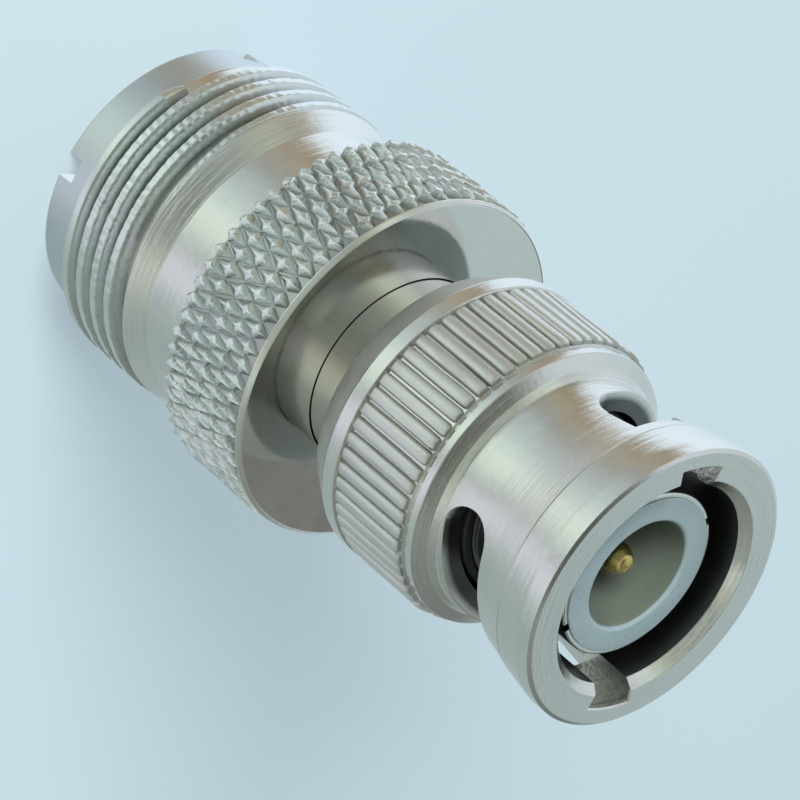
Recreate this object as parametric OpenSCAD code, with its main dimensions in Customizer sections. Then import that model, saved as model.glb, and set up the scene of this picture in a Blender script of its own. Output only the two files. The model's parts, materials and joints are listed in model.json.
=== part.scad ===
// Coaxial adapter: threaded UHF socket at the bottom, BNC bayonet plug at the top.
// The part stands on its notched rim, with +Z along the common axis.

/* [Threaded end] */
// Outside diameter of the thread
thread_d = 15.875; // [15.2:0.005:16.4]
// Diameter of the smooth rim in front of the thread
rim_d = 14.1; // [13:0.05:15]
// Length of the smooth rim
rim_len = 2.1; // [1.5:0.05:4]
// Length of the threaded band
thread_len = 5.05; // [3:0.05:9]
// Distance from one crest of the thread to the next
thread_pitch = 1.058; // [0.8:0.002:1.5]
// Depth of the thread below its crests
thread_depth = 0.6; // [0.3:0.02:0.8]
// Width of a crest, and of the root between two crests
thread_crest = 0.24; // [0.12:0.02:0.3]
// Distance from the rim to the middle of the first crest
thread_lead = 0.3; // [0.2:0.02:0.6]
// Length of the cone behind the thread
runout_len = 1.25; // [0.5:0.05:2.5]
// Diameter of the relief between cone and collar
relief_d = 14.7; // [13.6:0.05:15.2]
// Length of the relief
relief_len = 3.05; // [1.5:0.05:6]
// Inside diameter of the mouth
mouth_d = 11.2; // [10.5:0.05:12.2]
// Depth from the rim to the insulator
mouth_depth = 3; // [1.5:0.05:5]
// Width of each notch in the rim
notch_w = 1.2; // [0.6:0.05:2.2]
// Depth of each notch
notch_depth = 1; // [0.4:0.05:1.4]
// Number of notches
notch_count = 4; // [2:1:8]
// Angle of the first notch
notch_turn = 19.7; // [0:0.1:90]
// Edge break round the rim
rim_edge = 0.2; // [0.05:0.01:0.4]

/* [Collar] */
// Diameter over the knurl
collar_d = 17.44; // [16.6:0.02:20]
// Length of the collar
collar_len = 5.35; // [3.5:0.05:9]
// Height of the knurl's diamonds
diamond_h = 0.28; // [0.1:0.01:0.45]
// Diamonds round the collar
diamond_count = 60; // [36:1:66]
// Distance between rows of diamonds
diamond_row = 0.82; // [0.6:0.01:1.2]
// Gap between neighbouring diamonds
diamond_gap = 0.14; // [0.08:0.01:0.25]
// Chamfer at the collar's polished face
face_chamfer = 0.42; // [0.1:0.01:0.8]
// Chamfer at the collar's other end
rear_chamfer = 0.15; // [0.05:0.01:0.4]

/* [Inside the threaded end] */
// Outside diameter of the insulating bush
bush_d = 10.8; // [10:0.05:11.4]
// Length of the insulating bush
bush_len = 8; // [4:0.1:9.5]
// Outside diameter of the centre socket
socket_d = 5.6; // [4.8:0.05:6.4]
// Bore of the centre socket
socket_bore = 4; // [3.4:0.01:4.4]
// Depth of the socket's bore
socket_depth = 11; // [7:0.1:11.2]
// Solid web behind the socket's bore
socket_web = 0.6; // [0.3:0.05:1]
// Length of the hollow shank behind the web
shank_len = 1.6; // [1:0.05:3]
// Outside diameter of the hollow shank
shank_d = 3.6; // [2.8:0.05:4.2]
// Width of the slits in the socket
socket_slit_w = 0.45; // [0.2:0.01:0.7]
// Length of the slits in the socket
socket_slit_len = 6; // [2:0.1:7.5]
// Number of slits in the socket
socket_slits = 4; // [2:1:6]

/* [Neck and body] */
// Diameter of the neck
neck_d = 9.4; // [8.8:0.02:9.6]
// Neck that shows between collar and nut
neck_show = 2.5; // [1:0.05:5]
// Length of the body pressed into the shell
stub_len = 4.2; // [2.5:0.05:4.8]
// How far the bore round the socket reaches past the collar's face
stub_bore_past = 0.4; // [0.1:0.05:2]
// Bore of the body behind its insulator
body_bore = 4.4; // [3:0.05:5.6]
// Body in front of the retaining ring
shoulder_len = 2.3; // [1.4:0.05:3]
// Edge break at the front shoulder
shoulder_edge = 0.2; // [0.05:0.01:0.4]

/* [Outer contact] */
// Width of the shoulder that the gasket sits on
shoulder_w = 0.45; // [0.3:0.01:0.8]
// Step from the sleeve's root to the sleeve
root_step = 0.2; // [0.04:0.01:0.3]
// Wall of the contact sleeve
sleeve_wall = 0.59; // [0.4:0.01:0.8]
// Length of the contact sleeve in front of the gasket
sleeve_len = 5.7; // [4:0.05:7]
// Width of the sleeve's slits
slit_w = 0.4; // [0.2:0.01:0.8]
// Length of the sleeve's slits
slit_len = 4.6; // [2:0.05:5.5]
// Number of slits
slit_count = 4; // [2:1:8]
// Angle of the first slit
slit_turn = 67; // [0:0.5:90]
// Edge break at the sleeve's mouth
sleeve_edge = 0.12; // [0.05:0.01:0.25]

/* [Insulator and pin] */
// Wall of the white insulator's cup
cup_wall = 0.8; // [0.5:0.02:1.2]
// Depth of the cup
cup_depth = 5.5; // [4:0.05:7]
// Thickness of the cup's floor
cup_floor = 3; // [1.5:0.05:4]
// How far the cup stands out of the sleeve
cup_proud = 0.1; // [0.02:0.01:0.4]
// Rounding of the cup's rim
cup_edge = 0.2; // [0.05:0.01:0.35]
// Diameter of the centre pin
pin_d = 1.37; // [1.2:0.01:1.6]
// Distance from the cup's rim to the pin's tip
pin_recess = 0.7; // [0.3:0.05:2.5]
// Diameter of the pin's shank
pin_shank_d = 2; // [1.7:0.05:2.4]

/* [Coupling nut] */
// Length of the nut
nut_len = 15.08; // [14.2:0.02:17]
// Diameter over the straight knurl
nut_d = 14.3; // [13.8:0.02:16]
// Diameter of the nut's rear edge
nut_rear_d = 12.5; // [11.8:0.05:13.4]
// Length of the bevel behind the knurl
bevel_len = 1.55; // [0.5:0.05:2]
// Smooth land between bevel and knurl
land_len = 0.8; // [0.2:0.05:1.5]
// Length of the straight knurl
ridge_len = 4.25; // [3:0.05:6]
// Ridges round the nut
ridge_count = 59; // [36:1:72]
// Depth of the cuts between ridges
ridge_h = 0.25; // [0.1:0.01:0.35]
// Width of the cuts between ridges
ridge_gap = 0.26; // [0.12:0.01:0.35]
// Width of the groove in front of the knurl
groove_w = 0.25; // [0.1:0.01:0.5]
// Depth of that groove
groove_h = 0.4; // [0.2:0.01:0.5]
// Width of the lip in front of the groove
lip_w = 0.4; // [0.2:0.01:0.8]
// Diameter of the lip
lip_d = 13.7; // [13.2:0.05:15.4]
// Length of the slope from the lip to the waist's root
lip_slope = 0.35; // [0.1:0.05:0.6]
// Size of the fillet between that slope and the waist
root_h = 0.28; // [0.1:0.02:0.4]
// Wall of the waist
waist_wall = 1; // [0.7:0.02:1.2]
// Length of the waist from the lip to the flare
waist_len = 2.05; // [1.5:0.05:3]
// Length of the flare in front of the waist
flare_len = 3.4; // [2:0.05:4]
// Diameter where the flare meets the flange
flare_d = 13.1; // [12.8:0.05:14]
// How late the flare bends outwards
flare_bend = 1.5; // [1:0.1:2.5]
// Part of the flange's length in which it widens to its full diameter
flange_rise = 0.65; // [0.3:0.05:0.8]
// Diameter of the flange
flange_d = 13.76; // [13.3:0.02:15.4]
// Edge break at the flange's front
flange_edge = 0.22; // [0.05:0.01:0.4]
// Chamfer at the bore's mouth
mouth_chamfer = 0.42; // [0.1:0.01:0.6]

/* [Bayonet slots] */
// Width of the slots
slot_w = 2.65; // [2.1:0.05:2.8]
// Width of the entry channels in the flange
entry_w = 2.4; // [2.1:0.05:2.6]
// Depth of the entry channels from the bore
entry_h = 1.05; // [0.7:0.05:1.2]
// Distance from the flange's face to the front end of the open slot
window_end = 3; // [2.6:0.05:3.4]
// Angle of the first entry
slot_turn = 31.5; // [0:0.5:180]
// Turn from the entry to the end of the slot
slot_sweep = 85.5; // [60:0.5:95]
// Distance from the flange's face to the turning point
slot_entry = 4.73; // [4:0.01:5.4]
// Distance from the flange's face to the end of the slot
slot_end = 5.78; // [4.6:0.01:6.2]

/* [Spring parts] */
// Length of the lip inside the nut's rear end
inner_lip = 1.6; // [0.8:0.05:2.5]
// Width of the flat and wavy rings
ring_w = 0.75; // [0.5:0.01:0.9]
// Thickness of the flat ring
flat_t = 0.4; // [0.2:0.01:0.8]
// Height of each wavy ring
wave_h = 0.9; // [0.6:0.02:1.3]
// Thickness of each wavy ring
wave_t = 0.25; // [0.15:0.01:0.4]
// Waves round each wavy ring
wave_count = 3; // [2:1:5]
// Thickness of the retaining ring
ring_t = 0.7; // [0.4:0.02:1]
// Depth of the ring's groove in the body
ring_seat = 0.9; // [0.4:0.02:1.2]
// Gap angle of the retaining ring
ring_gap = 24; // [8:1:60]

/* [Gasket] */
// Length of the gasket
gasket_len = 1.3; // [0.8:0.05:2]
// Radial distance from the gasket to the nut
gasket_room = 0.2; // [0.1:0.01:0.35]

/* [Clearances] */
// Radial gap of pieces that are pressed together
press_gap = 0.01; // [0.005:0.005:0.02]
// Radial gap between the neck and the nut's inner lip
turn_gap = 0.1; // [0.05:0.01:0.2]
// Radial gap between the body and the nut's bore
neck_gap = 0.25; // [0.15:0.01:0.4]
// Radial gap round the socket inside the body
socket_room = 0.6; // [0.3:0.05:0.9]
// Radial gap round the rings in the chamber
ring_room = 0.25; // [0.1:0.01:0.35]
// Gap between faces that turn or slide on each other
face_gap = 0.05; // [0.02:0.01:0.1]
// Overlap of cutting solids past the faces they cut
past = 0.5; // [0.2:0.1:1]

/* [Hidden] */
$fn = 96;

// Heights along the axis, from the rim upwards
z_thread_end = rim_len + thread_len;
z_relief = z_thread_end + runout_len;
thread_root = thread_d / 2 - thread_depth;
thread_grooves = floor((thread_len - thread_lead - thread_crest) / thread_pitch);
z_collar = z_relief + relief_len;
z_face = z_collar + collar_len;
z_bush_end = mouth_depth + bush_len;
z_socket_end = mouth_depth + socket_depth + socket_web;
z_shank_end = z_socket_end + shank_len;
z_stub = z_face - stub_len;
z_nut = z_face + neck_show;
z_lip = z_nut + inner_lip;
z_flat = z_lip + face_gap;
z_wave_rear = z_flat + flat_t + face_gap;
z_wave_front = z_wave_rear + wave_h;
z_ring = z_wave_front + wave_h;
z_ring_end = z_ring + ring_t;
z_chamber_end = z_ring_end + 2 * face_gap;
z_shoulder = z_ring_end + shoulder_len;
z_root_end = z_shoulder + gasket_len;
z_sleeve_end = z_root_end + sleeve_len;
z_cup_end = z_sleeve_end + cup_proud;
z_cup_floor = z_cup_end - cup_depth;
z_cup = z_cup_floor - cup_floor;
z_pin_tip = z_cup_end - pin_recess;
z_nut_end = z_nut + nut_len;
z_bevel = z_nut + bevel_len;
z_ridge = z_bevel + land_len;
z_groove = z_ridge + ridge_len;
z_lip_edge = z_groove + groove_w;
z_waist = z_lip_edge + lip_w;
z_flare = z_waist + waist_len;
z_flange = z_flare + flare_len;

// Radii that follow from the sizes above
collar_root = collar_d / 2 - diamond_h;
bush_bore = bush_d / 2 + press_gap;
shell_bore = neck_d / 2 + press_gap;
stub_bore = socket_d / 2 + socket_room;
root_r = neck_d / 2 - shoulder_w;
sleeve_r = root_r - root_step;
sleeve_bore = sleeve_r - sleeve_wall;
cup_r = sleeve_bore - press_gap;
cup_bore = cup_r - cup_wall;
lip_bore = neck_d / 2 + turn_gap;
ring_out = lip_bore + ring_w;
chamber_r = ring_out + ring_room;
nut_bore = neck_d / 2 + neck_gap;
waist_r = nut_bore + waist_wall;
entry_r = nut_bore + entry_h;
ring_in = neck_d / 2 - ring_seat + press_gap;
gasket_out = nut_bore - gasket_room;
knurl_rows = floor((collar_len - face_chamfer - rear_chamfer) / diamond_row);
knurl_len = knurl_rows * diamond_row;
z_knurl = z_collar + rear_chamfer + (collar_len - face_chamfer - rear_chamfer - knurl_len) / 2;

// One diamond of the knurl as a flat outline, whole or halved at the knurl's ends
function diamond(w, l, low, high) =
    [[-w / 2, 0], if (low) [0, -l / 2], [w / 2, 0], if (high) [0, l / 2]];

// Flare between waist and flange, as points of radius and height
flare_steps = 8;
function flare_r(t) = waist_r + (flare_d / 2 - waist_r) * pow(t, flare_bend);
flare_points = [for (i = [0:flare_steps]) [flare_r(i / flare_steps), z_flare + flare_len * i / flare_steps]];

// Corner points of a wavy ring, four to a step, and the faces between the steps
wave_steps = 72;
function wave_z(a, phase) = (wave_h - wave_t) / 2 * (1 + cos(wave_count * a + phase));
function wave_points(r0, r1, z, phase) =
    [for (i = [0:wave_steps - 1], k = [0:3])
        let (a = 360 * i / wave_steps, r = (k == 0 || k == 3) ? r0 : r1)
        [r * cos(a), r * sin(a), z + wave_z(a, phase) + (k > 1 ? wave_t : 0)]];
wave_faces =
    [for (i = [0:wave_steps - 1], k = [0:3])
        let (j = (i + 1) % wave_steps, m = (k + 1) % 4)
        [4 * i + k, 4 * i + m, 4 * j + m, 4 * j + k]];

// The diamonds stand on the collar's root, in staggered rows
module diamonds() {
    pitch = 360 / diamond_count;
    w = 2 * PI * collar_root / diamond_count - diamond_gap;
    l = 2 * (diamond_row - diamond_gap);
    for (row = [0:knurl_rows], i = [0:diamond_count - 1]) {
        rotate([0, 0, pitch * (i + (row % 2) / 2)])
            translate([collar_root - diamond_h, 0, z_knurl + row * diamond_row])
                rotate([90, 0, 90])
                    linear_extrude(height = 2 * diamond_h)
                        polygon(diamond(w, l, row > 0, row < knurl_rows));
    }
}

// Corners of one crest and the groove above it; rings stand for the thread's turns
function crest_z(i) = rim_len + thread_lead + i * thread_pitch;
function thread_corners(i) = [
    [thread_d / 2, crest_z(i) - thread_crest / 2],
    [thread_d / 2, crest_z(i) + thread_crest / 2],
    [thread_root, crest_z(i + 0.5) - thread_crest / 2],
    [thread_root, crest_z(i + 0.5) + thread_crest / 2]
];
thread_points = [for (i = [0:thread_grooves - 1]) each thread_corners(i)];

// Shell: rim, thread, relief and collar, bored from both ends
module uhf_shell() {
    color("silver")
    difference() {
        union() {
            rotate_extrude()
                polygon(concat(
                    [
                        [shell_bore, z_bush_end],
                        [bush_bore, z_bush_end],
                        [bush_bore, mouth_depth],
                        [mouth_d / 2, mouth_depth],
                        [mouth_d / 2, 0],
                        [rim_d / 2 - rim_edge, 0],
                        [rim_d / 2, rim_edge],
                        [rim_d / 2, rim_len]
                    ],
                    thread_points,
                    [
                        [thread_d / 2, crest_z(thread_grooves) - thread_crest / 2],
                        [thread_d / 2, z_thread_end],
                        [relief_d / 2, z_relief],
                        [relief_d / 2, z_collar],
                        [collar_root - rear_chamfer, z_collar],
                        [collar_root, z_collar + rear_chamfer],
                        [collar_root, z_face - face_chamfer + diamond_h],
                        [collar_root + diamond_h - face_chamfer, z_face],
                        [shell_bore, z_face]
                    ]
                ));
            diamonds();
        }
        for (i = [0:notch_count - 1]) {
            rotate([0, 0, notch_turn + i * 360 / notch_count])
                translate([0, -notch_w / 2, -past])
                    cube([rim_d / 2 + past, notch_w, notch_depth + past]);
        }
    }
}

// Insulating bush in the threaded mouth, round the socket
module uhf_insulator() {
    color("ivory")
    translate([0, 0, mouth_depth])
        difference() {
            cylinder(d = bush_d, h = bush_len);
            translate([0, 0, -past])
                cylinder(d = socket_d + 2 * press_gap, h = bush_len + 2 * past);
        }
}

// Slotted centre socket with its hollow shank
module uhf_socket() {
    color("goldenrod")
    difference() {
        union() {
            translate([0, 0, mouth_depth])
                cylinder(d = socket_d, h = socket_depth + socket_web);
            translate([0, 0, z_socket_end - past])
                cylinder(d = shank_d, h = shank_len + past);
        }
        translate([0, 0, mouth_depth - past])
            cylinder(d = socket_bore, h = socket_depth + past);
        translate([0, 0, z_socket_end])
            cylinder(d = pin_shank_d + 2 * press_gap, h = shank_len + past);
        for (i = [0:socket_slits - 1]) {
            rotate([0, 0, (i + 0.5) * 360 / socket_slits])
                translate([0, -socket_slit_w / 2, mouth_depth - past])
                    cube([socket_d, socket_slit_w, socket_slit_len + past]);
        }
    }
}

// Body: stub in the shell, neck, ring groove, shoulder and slotted contact sleeve
module bnc_body() {
    color("lightgray")
    difference() {
        rotate_extrude()
            polygon([
                [stub_bore, z_stub],
                [neck_d / 2, z_stub],
                [neck_d / 2, z_ring],
                [neck_d / 2 - ring_seat, z_ring],
                [neck_d / 2 - ring_seat, z_ring_end],
                [neck_d / 2, z_ring_end],
                [neck_d / 2, z_shoulder - shoulder_edge],
                [neck_d / 2 - shoulder_edge, z_shoulder],
                [root_r, z_shoulder],
                [root_r, z_root_end],
                [sleeve_r, z_root_end],
                [sleeve_r, z_sleeve_end - sleeve_edge],
                [sleeve_r - sleeve_edge, z_sleeve_end],
                [sleeve_bore, z_sleeve_end],
                [sleeve_bore, z_cup],
                [body_bore / 2, z_cup],
                [body_bore / 2, z_face + stub_bore_past],
                [stub_bore, z_face + stub_bore_past]
            ]);
        for (i = [0:slit_count - 1]) {
            rotate([0, 0, slit_turn + i * 360 / slit_count])
                translate([0, -slit_w / 2, z_sleeve_end - slit_len])
                    cube([2 * sleeve_r, slit_w, slit_len + past]);
        }
    }
}

// White cup with a floor that holds the pin
module bnc_insulator() {
    color("white")
    rotate_extrude()
        polygon([
            [pin_shank_d / 2 + press_gap, z_cup],
            [cup_r, z_cup],
            [cup_r, z_cup_end - cup_edge],
            [cup_r - cup_edge, z_cup_end],
            [cup_bore + cup_edge, z_cup_end],
            [cup_bore, z_cup_end - cup_edge],
            [cup_bore, z_cup_floor],
            [pin_shank_d / 2 + press_gap, z_cup_floor]
        ]);
}

// Centre pin with a domed tip, on a thicker shank
module bnc_pin() {
    color("gold")
    union() {
        translate([0, 0, z_socket_end])
            cylinder(d = pin_shank_d, h = z_cup_floor - z_socket_end);
        translate([0, 0, z_cup_floor - past])
            cylinder(d = pin_d, h = z_pin_tip - pin_d / 2 - z_cup_floor + past);
        translate([0, 0, z_pin_tip - pin_d / 2])
            sphere(d = pin_d);
    }
}

// One bayonet slot: entry channel with a floor, then an open cut that sinks to a round end
module bayonet_slot() {
    z_turn = z_nut_end - slot_entry;
    z_stop = z_nut_end - slot_end;
    r_in = nut_bore - past;
    r_out = flange_d / 2 + past;
    tilt = atan((z_turn - z_stop) / 2 / (waist_r * sin(slot_sweep / 2)));
    intersection() {
        translate([0, 0, z_turn])
            cylinder(r = entry_r, h = slot_entry + past);
        translate([r_in, -entry_w / 2, z_turn])
            cube([r_out - r_in, entry_w, slot_entry + past]);
    }
    translate([r_in, -slot_w / 2, z_turn])
        cube([r_out - r_in, slot_w, slot_entry - window_end]);
    translate([r_in, 0, z_turn])
        rotate([0, 90, 0])
            cylinder(d = slot_w, h = r_out - r_in);
    rotate([0, 0, -slot_sweep])
        translate([r_in, 0, z_stop])
            rotate([0, 90, 0])
                cylinder(d = slot_w, h = r_out - r_in);
    translate([0, 0, (z_turn + z_stop) / 2])
        rotate([0, 0, -slot_sweep / 2])
            rotate([tilt, 0, 0])
                rotate([0, 0, -slot_sweep / 2])
                    rotate_extrude(angle = slot_sweep)
                        translate([r_in, -slot_w / 2])
                            square([r_out - r_in, slot_w]);
}

// Coupling nut: bevel, straight knurl, lip, waist, flare and flange, hollow inside
module coupling_nut() {
    color("gainsboro")
    difference() {
        rotate_extrude()
            polygon(concat(
                [
                    [lip_bore, z_nut],
                    [nut_rear_d / 2, z_nut],
                    [nut_d / 2, z_bevel],
                    [nut_d / 2, z_groove],
                    [nut_d / 2 - groove_h, z_groove],
                    [nut_d / 2 - groove_h, z_lip_edge],
                    [lip_d / 2, z_lip_edge],
                    [lip_d / 2, z_waist],
                    [waist_r + root_h, z_waist + lip_slope],
                    [waist_r, z_waist + lip_slope + root_h]
                ],
                flare_points,
                [
                    [flange_d / 2, z_flange + (z_nut_end - z_flange) * flange_rise],
                    [flange_d / 2, z_nut_end - flange_edge],
                    [flange_d / 2 - flange_edge, z_nut_end],
                    [nut_bore + mouth_chamfer, z_nut_end],
                    [nut_bore, z_nut_end - mouth_chamfer],
                    [nut_bore, z_chamber_end],
                    [chamber_r, z_chamber_end],
                    [chamber_r, z_lip],
                    [lip_bore, z_lip]
                ]
            ));
        for (i = [0:ridge_count - 1]) {
            rotate([0, 0, i * 360 / ridge_count])
                translate([nut_d / 2 - ridge_h, -ridge_gap / 2, z_ridge])
                    cube([ridge_h + past, ridge_gap, ridge_len + groove_w / 2]);
        }
        for (i = [0, 1]) {
            rotate([0, 0, slot_turn + 180 * i])
                bayonet_slot();
        }
    }
}

// Flat ring on the nut's inner lip
module thrust_washer() {
    color("darkgray")
    translate([0, 0, z_flat])
        difference() {
            cylinder(r = ring_out, h = flat_t);
            translate([0, 0, -past])
                cylinder(r = lip_bore, h = flat_t + 2 * past);
        }
}

// Wavy spring rings, crest against crest
module wave_washer_rear() {
    color("lightsteelblue")
        polyhedron(wave_points(lip_bore, ring_out, z_wave_rear, 0), wave_faces);
}

module wave_washer_front() {
    color("lightsteelblue")
        polyhedron(wave_points(lip_bore, ring_out, z_wave_front, 180), wave_faces);
}

// Split ring in the body's groove
module retaining_ring() {
    color("slategray")
    translate([0, 0, z_ring])
        rotate([0, 0, ring_gap / 2])
            rotate_extrude(angle = 360 - ring_gap)
                translate([ring_in, 0])
                    square([ring_out - ring_in, ring_t]);
}

// Rubber ring on the body's front shoulder
module gasket() {
    color("black")
    translate([0, 0, z_shoulder])
        difference() {
            cylinder(r = gasket_out, h = gasket_len);
            translate([0, 0, -past])
                cylinder(r = root_r + press_gap, h = gasket_len + 2 * past);
        }
}

uhf_shell();
uhf_insulator();
uhf_socket();
bnc_body();
bnc_insulator();
bnc_pin();
coupling_nut();
thrust_washer();
wave_washer_rear();
wave_washer_front();
retaining_ring();
gasket();
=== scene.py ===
# %% [markdown]
# # A UHF to BNC adapter
# The real object is a stack of turned, nickel-plated brass pieces. One end has a coarse outside thread and
# a knurled collar, the other a sprung nut with bayonet slots round a white insulator and a gold pin.
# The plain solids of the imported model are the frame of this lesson. Each piece that shows is made again on
# top of its solid, with the small edges, the thread, the knurls and the finish that the solids leave out.
# Lengths are written in millimetres and multiplied by MM where Blender wants metres.

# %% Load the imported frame
import json
import math

import bmesh
import bpy
import numpy as np
from mathutils import Matrix, Vector

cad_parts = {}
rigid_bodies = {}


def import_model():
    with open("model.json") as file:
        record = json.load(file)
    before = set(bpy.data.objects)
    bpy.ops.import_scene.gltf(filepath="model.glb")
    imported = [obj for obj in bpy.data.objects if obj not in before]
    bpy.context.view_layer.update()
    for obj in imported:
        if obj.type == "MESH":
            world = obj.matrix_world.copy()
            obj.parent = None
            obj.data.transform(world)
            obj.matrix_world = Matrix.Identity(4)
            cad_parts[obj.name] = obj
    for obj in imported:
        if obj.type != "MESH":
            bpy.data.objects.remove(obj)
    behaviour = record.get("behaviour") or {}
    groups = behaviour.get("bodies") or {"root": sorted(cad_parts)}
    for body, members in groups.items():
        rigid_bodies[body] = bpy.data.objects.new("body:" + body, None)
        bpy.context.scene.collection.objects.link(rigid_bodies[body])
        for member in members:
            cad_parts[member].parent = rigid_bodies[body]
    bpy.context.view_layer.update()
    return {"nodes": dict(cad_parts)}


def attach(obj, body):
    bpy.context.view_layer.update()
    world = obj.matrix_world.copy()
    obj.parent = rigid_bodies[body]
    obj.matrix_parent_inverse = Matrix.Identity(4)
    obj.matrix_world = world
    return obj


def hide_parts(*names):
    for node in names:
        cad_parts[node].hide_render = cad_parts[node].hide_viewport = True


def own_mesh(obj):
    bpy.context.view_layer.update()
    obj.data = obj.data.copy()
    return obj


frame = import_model()
MM = 0.001

# %% [markdown]
# ## The camera
# A long lens looks down on the part from a little way off, turned so that the axis runs from the upper left
# to the lower right of the picture. The three directions below are the camera's own right, up and back,
# found by matching the round edges of the part. A matrix of those directions places the camera in one step.

# %% Place the camera
CAMERA_PLACE = Vector((0.827, -159.60, 133.78)) * MM
CAMERA_RIGHT = Vector((-0.64462, 0.44887, 0.61885))
CAMERA_UP = Vector((-0.76450, -0.37849, -0.52181))
CAMERA_BACK = Vector((0.0, -0.80948, 0.58715))


def linked(data):
    made = bpy.data.objects.new(data.name, data)
    bpy.context.scene.collection.objects.link(made)
    return made


lens = bpy.data.cameras.new("long_lens")
lens.sensor_width = 36.0
lens.lens = 202.5
lens.clip_start = 0.01
lens.clip_end = 5.0
camera = linked(lens)
turn = Matrix((CAMERA_RIGHT, CAMERA_UP, CAMERA_BACK)).transposed().to_4x4()
camera.matrix_world = Matrix.Translation(CAMERA_PLACE) @ turn
bpy.context.scene.camera = camera
print("camera is", round(CAMERA_PLACE.length / MM), "mm from the rim's centre")

# %% [markdown]
# ## Small helpers for node trees
# Materials, the surroundings and Geometry Nodes are all node trees. One helper adds a node with its settings
# and its inputs, where an input is either a plain value or the output of another node. The others are the
# few nodes that nearly every recipe here needs, which keeps each recipe short.


# %% Add a node with its inputs
def add_node(tree, kind, inputs=None, **settings):
    made = tree.nodes.new(kind)
    for key, value in settings.items():
        setattr(made, key, value)
    for key, value in (inputs or {}).items():
        if isinstance(value, bpy.types.NodeSocket):
            tree.links.new(value, made.inputs[key])
        else:
            made.inputs[key].default_value = value
    return made


def math_node(tree, operation, a, b=0.0, c=0.0):
    made = add_node(tree, "ShaderNodeMath", {0: a, 1: b, 2: c}, operation=operation)
    return made.outputs[0]


def times(tree, a, b):
    return math_node(tree, "MULTIPLY", a, b)


def times_plus(tree, a, b, c):
    return math_node(tree, "MULTIPLY_ADD", a, b, c)


def plus(tree, a, b):
    return math_node(tree, "ADD", a, b)


def vector_math(tree, operation, inputs):
    return add_node(tree, "ShaderNodeVectorMath", inputs, operation=operation).outputs[0]


def map_range(tree, value, low, high, to_low=0.0, to_high=1.0, kind="LINEAR"):
    limits = {0: value, 1: low, 2: high, 3: to_low, 4: to_high}
    return add_node(tree, "ShaderNodeMapRange", limits, interpolation_type=kind).outputs[0]


def combine(tree, x=0.0, y=0.0, z=0.0):
    return add_node(tree, "ShaderNodeCombineXYZ", {0: x, 1: y, 2: z}).outputs[0]


def separate(tree, vector):
    return add_node(tree, "ShaderNodeSeparateXYZ", {0: vector}).outputs


def noise(tree, place, scale, detail, roughness=0.5):
    inputs = {"Vector": place, "Scale": scale, "Detail": detail, "Roughness": roughness}
    return add_node(tree, "ShaderNodeTexNoise", inputs).outputs


# %% Helpers for colours
def mixed_colour(tree, share, first, second, blend="MIX"):
    # A Mix node has sockets for numbers, vectors and colours. The two colours are sockets 6 and 7.
    inputs = {0: share, 6: first, 7: second}
    return add_node(tree, "ShaderNodeMix", inputs, data_type="RGBA", blend_type=blend).outputs[2]


def colour_ramp(tree, value, stops):
    made = add_node(tree, "ShaderNodeValToRGB", {0: value})
    marks = made.color_ramp.elements
    while len(marks) > 1:
        marks.remove(marks[0])
    marks[0].position = stops[0][0]
    marks[0].color = (*stops[0][1], 1.0)
    for place, colour in stops[1:]:
        marks.new(place).color = (*colour, 1.0)
    return made.outputs["Color"]


# %% [markdown]
# ## Surroundings, light and floor
# Bright plating shows little but its surroundings, so those decide how the metal looks. A studio would stand
# white cards and a warm card round the part. Here the surroundings are a world shader made of two rings of
# soft colour, one below and one above the part's middle, with four cards laid over them, all read by
# direction alone. A large soft lamp adds the direction of the light and the faint shadow. The floor is plain
# and pale. It is kept out of mirror reflections, because the part is shown lying in the picture while it
# stands in the model, and its own foot would fill every wall.

# %% Colours of the two rings, by bearing in degrees
PALE = (0.650, 0.795, 0.885)
RING_BELOW = [
    (-180, (0.40, 0.34, 0.24)), (-169, (0.34, 0.29, 0.20)), (-165, (0.45, 0.39, 0.28)),
    (-155, (0.42, 0.40, 0.34)), (-145, (0.36, 0.38, 0.36)), (-133, (0.46, 0.53, 0.54)),
    (-118, (0.56, 0.66, 0.68)), (-104, (0.70, 0.84, 0.82)), (-92, (0.90, 1.04, 0.96)),
    (-80, (0.80, 0.94, 0.86)), (-70, (0.66, 0.78, 0.74)), (-62, (0.42, 0.47, 0.46)),
    (-56, (0.68, 0.73, 0.82)), (-40, (0.80, 0.85, 0.95)), (-30, (0.66, 0.72, 0.79)),
    (-20, (0.46, 0.55, 0.56)), (0, (0.38, 0.47, 0.47)), (60, (0.40, 0.49, 0.50)),
    (84, (0.50, 0.60, 0.65)), (104, (0.70, 0.84, 0.95)), (128, (0.82, 0.98, 1.12)),
    (150, (0.95, 1.10, 1.25)), (170, (0.92, 1.08, 1.22)), (178, (0.40, 0.34, 0.24)),
]
RING_ABOVE = [
    (-180, (0.56, 0.63, 0.63)), (-170, (0.46, 0.53, 0.48)), (-150, (0.56, 0.63, 0.50)),
    (-130, (0.34, 0.38, 0.35)), (-110, (0.27, 0.31, 0.29)), (-90, (0.21, 0.24, 0.22)),
    (-66, (0.25, 0.28, 0.25)), (-44, (0.56, 0.61, 0.50)), (-28, (0.50, 0.55, 0.48)),
    (-10, (0.36, 0.41, 0.38)), (20, (0.28, 0.32, 0.30)), (50, (0.22, 0.25, 0.24)),
    (70, (0.18, 0.20, 0.19)), (82, (0.49, 0.63, 0.65)), (110, (0.54, 0.66, 0.70)),
    (150, (0.74, 0.82, 0.90)), (170, (0.64, 0.72, 0.76)), (179, (0.56, 0.63, 0.63)),
]
print("surroundings:", len(RING_BELOW), "stops below and", len(RING_ABOVE), "above")

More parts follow.
